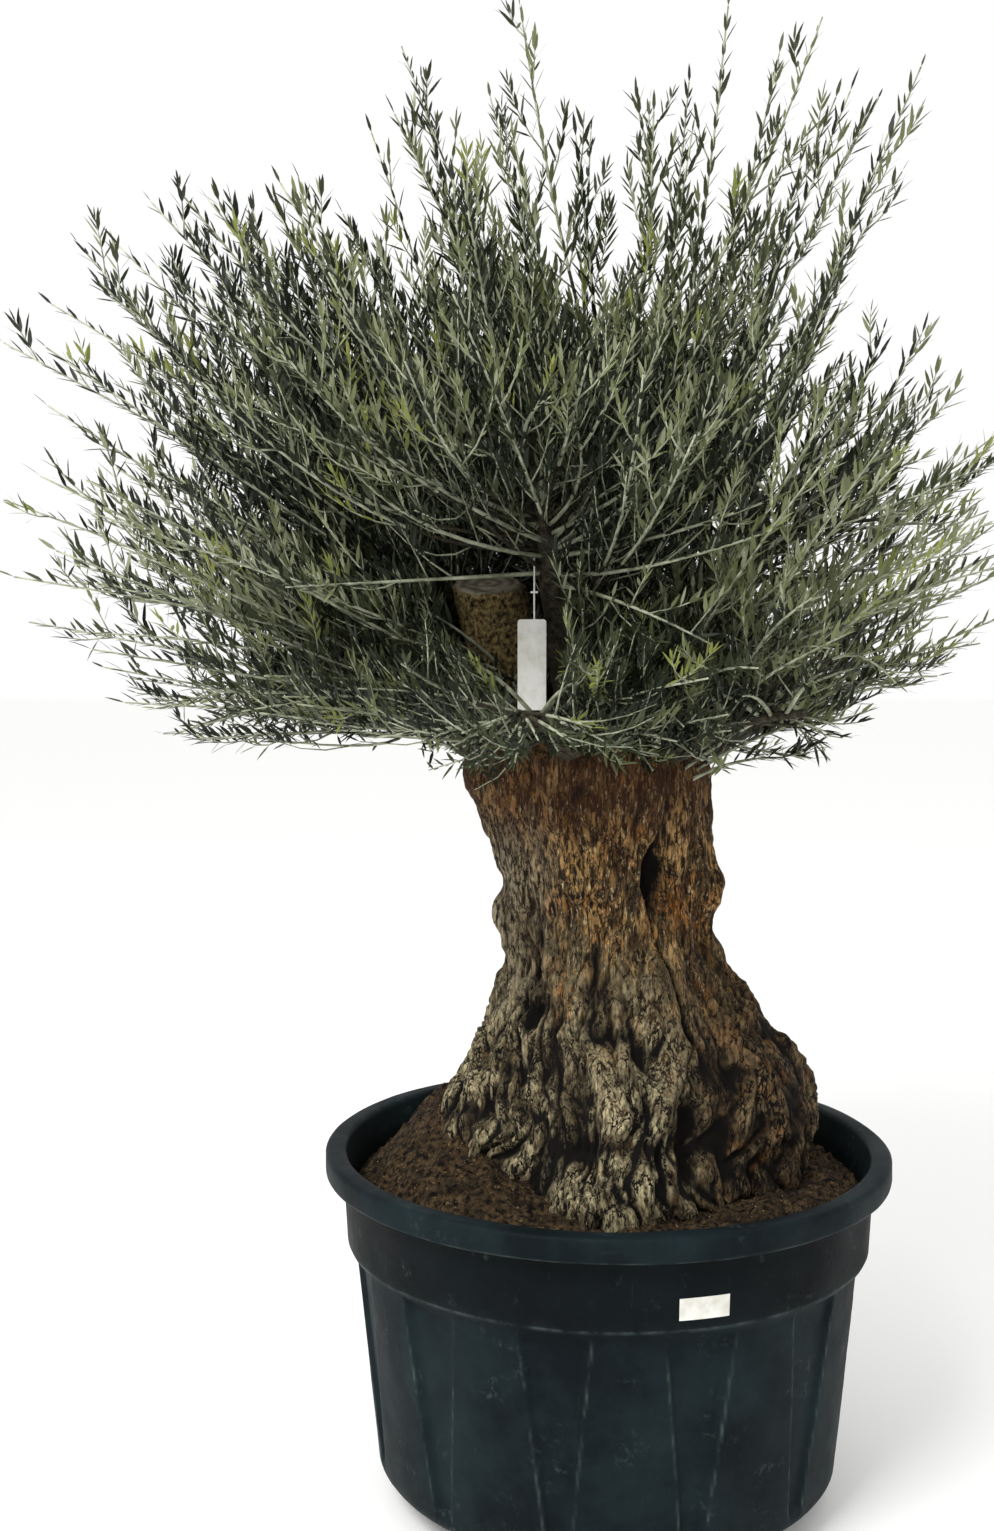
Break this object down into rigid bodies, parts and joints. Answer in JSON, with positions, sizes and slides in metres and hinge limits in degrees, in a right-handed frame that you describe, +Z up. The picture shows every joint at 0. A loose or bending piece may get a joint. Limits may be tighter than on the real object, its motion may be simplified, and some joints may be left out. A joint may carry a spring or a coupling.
{
  "type": "potted olive tree",
  "caption": "Thick-trunked pollarded olive tree with a broad twiggy crown, standing in a round fluted nursery pot full of compost.",
  "frame": {"origin": "centre of the pot's flat underside, on the floor", "axes": "+Z up along the pot's axis, +X to the right as the picture sees it, -Y towards the picture's viewer"},
  "size_m": [1.5314, 1.4814, 2.2879],
  "materials": {
    "pot": "moulded polyethylene, scuffed",
    "soil": "moist compost with bark crumbs",
    "bark": "old fissured olive bark",
    "foliage": "leathery grey-green leaves on pale twigs"
  },
  "bodies": {
    "root": {"bough_lower_1": "bark", "bough_lower_2": "bark", "bough_lower_3": "bark", "bough_lower_4": "bark", "bough_lower_5": "bark", "bough_lower_6": "bark", "bough_top_1": "bark", "bough_upper_1": "bark", "bough_upper_2": "bark", "bough_upper_3": "bark", "bough_upper_4": "bark", "bough_upper_5": "bark", "foliage_lower_1": "foliage", "foliage_lower_2": "foliage", "foliage_lower_3": "foliage", "foliage_lower_4": "foliage", "foliage_lower_5": "foliage", "foliage_lower_6": "foliage", "foliage_top_1": "foliage", "foliage_upper_1": "foliage", "foliage_upper_2": "foliage", "foliage_upper_3": "foliage", "foliage_upper_4": "foliage", "foliage_upper_5": "foliage", "pot": "pot", "sawn_limb": "bark", "soil": "soil", "trunk": "bark"}
  },
  "joints": []
}
